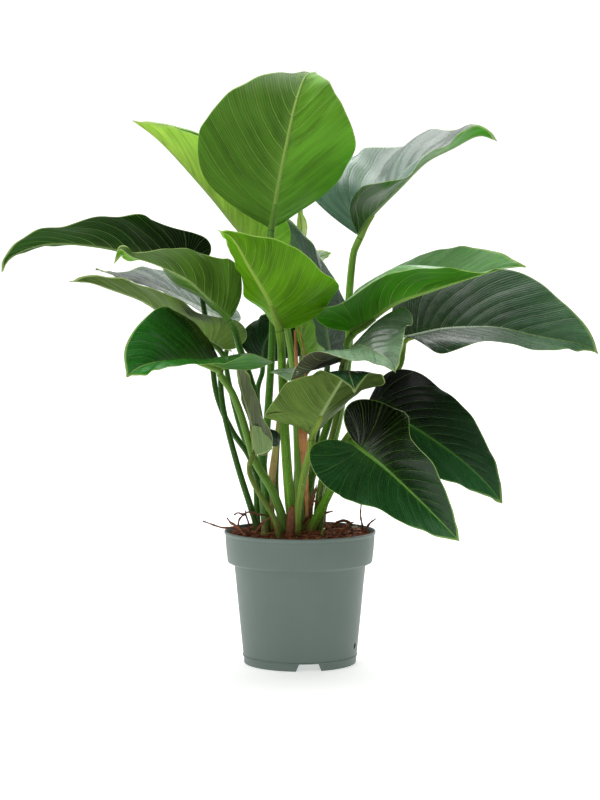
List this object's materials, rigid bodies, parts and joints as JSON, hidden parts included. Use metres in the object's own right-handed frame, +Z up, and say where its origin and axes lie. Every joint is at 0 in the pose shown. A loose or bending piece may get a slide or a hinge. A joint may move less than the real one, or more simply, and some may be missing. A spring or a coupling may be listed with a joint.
{
  "type": "potted philodendron",
  "caption": "Potted philodendron: large heart-shaped leaves on long stalks rising from bark soil in a tapered nursery pot with a broad collar.",
  "frame": {"origin": "on the floor, under the middle of the pot", "axes": "+Z up, +X to the right of the pictured front view, -Y towards the front"},
  "size_m": [0.8345, 0.4128, 0.8195],
  "materials": {
    "leaf_bright": "smooth glossy leaf, bright green, paler veins and margin",
    "leaf_dark": "smooth glossy leaf, dark green, pale midrib and margin",
    "leaf_olive": "satin leaf underside, olive green, paler veins",
    "leaf_grey": "glossy leaf, grey green in the light, pale midrib and margin",
    "stalk": "smooth green leaf stalk",
    "stem": "matte pale green stem stub",
    "sheath": "dry papery brown sheath",
    "root": "matte dark root or twig",
    "soil": "loose bark and fibre potting mix, matte",
    "pot": "satin moulded plastic, grey green"
  },
  "bodies": {
    "root": {"blade_crown": "leaf_bright", "petiole_crown": "stalk", "blade_centre": "leaf_bright", "petiole_centre": "stalk", "blade_upper_left": "leaf_bright", "petiole_upper_left": "stalk", "blade_far_left": "leaf_dark", "petiole_far_left": "stalk", "blade_mid_left": "leaf_olive", "petiole_mid_left": "stalk", "blade_olive_left": "leaf_olive", "petiole_olive_left": "stalk", "blade_grey_left": "leaf_grey", "petiole_grey_left": "stalk", "blade_low_left": "leaf_dark", "petiole_low_left": "stalk", "blade_deep_left": "leaf_dark", "petiole_deep_left": "stalk", "blade_deep_middle": "leaf_olive", "petiole_deep_middle": "stalk", "blade_tall_back": "leaf_dark", "petiole_tall_back": "stalk", "blade_upper_right": "leaf_grey", "petiole_upper_right": "stalk", "blade_bright_right": "leaf_bright", "petiole_bright_right": "stalk", "blade_dark_right": "leaf_dark", "petiole_dark_right": "stalk", "blade_mid_right": "leaf_grey", "petiole_mid_right": "stalk", "blade_low_centre": "leaf_olive", "petiole_low_centre": "stalk", "blade_rolled": "leaf_olive", "petiole_rolled": "stalk", "blade_front_right": "leaf_dark", "petiole_front_right": "stalk", "blade_behind_front": "leaf_dark", "petiole_behind_front": "stalk", "blade_back_bud": "leaf_bright", "petiole_back_bud": "stalk", "blade_back_small": "leaf_olive", "petiole_back_small": "stalk", "stem_left": "stem", "stem_centre": "stem", "stem_right": "stem", "sheath_front": "sheath", "sheath_left": "sheath", "sheath_tall": "sheath", "sheath_upper": "sheath", "root_left": "root", "root_loop": "root", "root_right": "root", "root_back": "root", "soil": "soil", "pot": "pot"}
  },
  "joints": []
}
